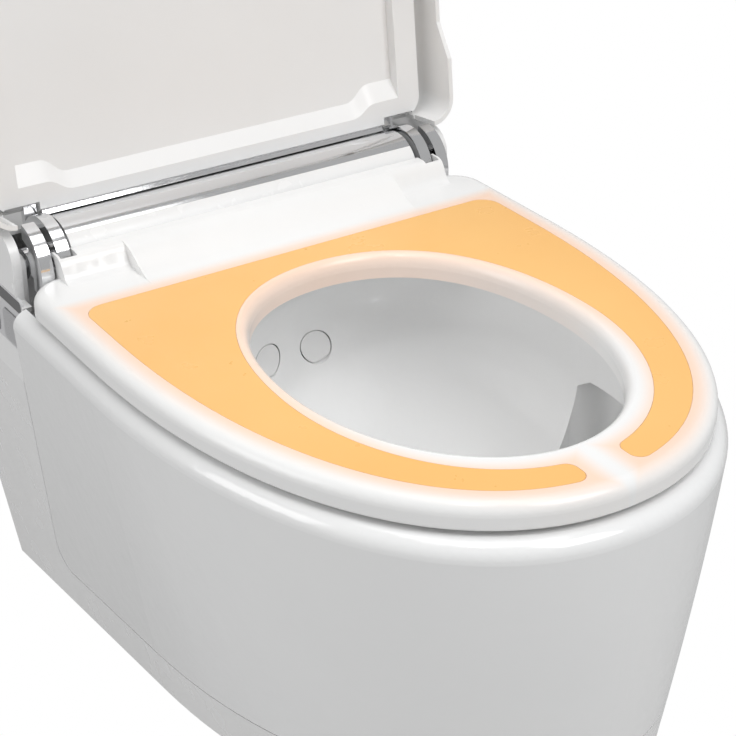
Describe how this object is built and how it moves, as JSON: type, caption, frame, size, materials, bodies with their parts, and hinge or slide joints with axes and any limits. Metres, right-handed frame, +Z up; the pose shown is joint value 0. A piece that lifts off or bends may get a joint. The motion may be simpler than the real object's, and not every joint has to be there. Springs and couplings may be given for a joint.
{
  "type": "smart toilet",
  "caption": "Wall-hung shower toilet with a glowing heated seat, hinged lid, two round arm caps in the bowl and a side control panel.",
  "frame": {"origin": "on the wall plane, midway between the two wall bolts", "axes": "+X to the right for someone facing the toilet, +Z up, the toilet points along -Y away from the wall"},
  "size_m": [0.392, 0.5976, 0.7901],
  "materials": {
    "ceramic": "glazed",
    "cover_white": "gloss",
    "seat_white": "gloss",
    "lid_white": "gloss",
    "lid_liner": "satin",
    "glow": "lit from inside",
    "polished": "polished",
    "shaft_steel": "ground",
    "screw_steel": "plated",
    "dark_window": "gloss",
    "silver": "satin",
    "panel_grey": "gloss",
    "buffer": "matt",
    "sleeve": "matt",
    "housing_white": "satin",
    "inner_grey": "matt",
    "inner_black": "matt",
    "foil": "matt",
    "tube_white": "gloss",
    "inner_brass": "turned",
    "board_green": "matt",
    "tank": "satin"
  },
  "bodies": {
    "toilet": {"ceramic_bowl": "ceramic", "side_cover_left": "cover_white", "side_cover_right": "cover_white", "cover_screws": "screw_steel", "panel_plate": "panel_grey", "panel_window": "dark_window", "rear_housing": "housing_white", "hinge_trim": "polished", "hinge_shaft": "shaft_steel", "seat_damper": "inner_black", "lid_damper": "inner_black", "top_cover": "cover_white", "arm_guides": "inner_grey", "spray_motor": "inner_black", "dryer_motor": "inner_black", "boiler": "tank", "pump": "inner_black", "inlet_valve": "inner_grey", "water_inlet": "inner_brass", "blower": "inner_black", "odour_filter": "inner_grey", "odour_fan": "inner_black", "control_board": "board_green", "power_supply": "inner_grey", "mains_inlet": "inner_black", "fixing_sleeves": "sleeve"},
    "seat": {"seat_top": "seat_white", "seat_strip": "seat_white", "seat_ends": "seat_white", "seat_base": "seat_white", "heating_zone": "glow", "heater_mat": "foil", "seat_arm_right": "polished", "seat_arm_left": "polished", "seat_bumpers": "buffer"},
    "lid": {"lid_shell": "lid_white", "lid_panel": "lid_liner", "lid_rail": "polished", "lid_arm_right": "polished", "lid_arm_left": "polished", "lid_bumpers": "buffer"},
    "spray_arm": {"spray_tube": "tube_white", "spray_cap": "tube_white"},
    "dryer_arm": {"dryer_tube": "tube_white", "dryer_cap": "tube_white"},
    "push_button_1": {"button_1": "silver"},
    "push_button_2": {"button_2": "silver"},
    "push_button_3": {"button_3": "silver"}
  },
  "joints": [
    {"name": "seat_hinge", "type": "hinge", "parent": "toilet", "child": "seat", "pos_m": [0, -0.134, 0.115], "axis": [-1, 0, 0], "range_deg": [0, 95]},
    {"name": "lid_hinge", "type": "hinge", "parent": "toilet", "child": "lid", "pos_m": [0, -0.134, 0.115], "axis": [-1, 0, 0], "range_deg": [-97, 0]},
    {"name": "spray_slide", "type": "slide", "parent": "toilet", "child": "spray_arm", "axis": [0, -0.9511, -0.309], "range_m": [0, 0.11]},
    {"name": "dryer_slide", "type": "slide", "parent": "toilet", "child": "dryer_arm", "axis": [0, -0.9511, -0.309], "range_m": [0, 0.075]},
    {"name": "button_1_press", "type": "slide", "parent": "toilet", "child": "push_button_1", "axis": [1, 0, 0], "range_m": [0, 0.0015], "stiffness_N_per_m": 600, "springref_m": -0.001},
    {"name": "button_2_press", "type": "slide", "parent": "toilet", "child": "push_button_2", "axis": [1, 0, 0], "range_m": [0, 0.0015], "stiffness_N_per_m": 600, "springref_m": -0.001},
    {"name": "button_3_press", "type": "slide", "parent": "toilet", "child": "push_button_3", "axis": [1, 0, 0], "range_m": [0, 0.0015], "stiffness_N_per_m": 600, "springref_m": -0.001}
  ]
}
